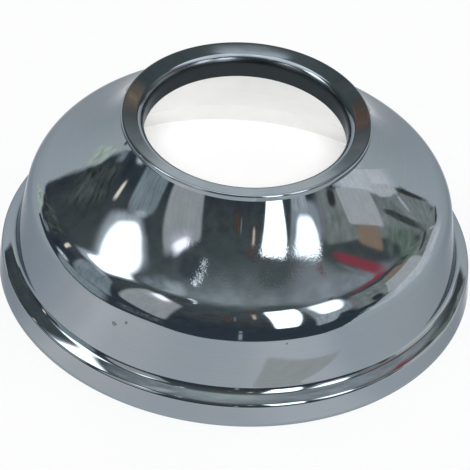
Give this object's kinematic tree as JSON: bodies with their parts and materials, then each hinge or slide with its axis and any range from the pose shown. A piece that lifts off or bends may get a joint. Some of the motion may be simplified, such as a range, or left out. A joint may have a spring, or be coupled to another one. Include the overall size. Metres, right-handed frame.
{
  "type": "toilet pipe escutcheon",
  "caption": "Bell-shaped chromed sheet-metal cover rosette with a stepped rim and a lipped collar that slides over a flush pipe and hides the hole around it.",
  "frame": {"origin": "centre of the rim's resting edge, on the pipe's axis", "axes": "+Z along the pipe's axis, from the resting rim up to the lip; X and Y lie in the plane that the rim rests on"},
  "size_m": [0.098, 0.098, 0.0385],
  "materials": {
    "chrome_plate": "polished"
  },
  "bodies": {
    "root": {"escutcheon_shell": "chrome_plate"}
  },
  "joints": []
}
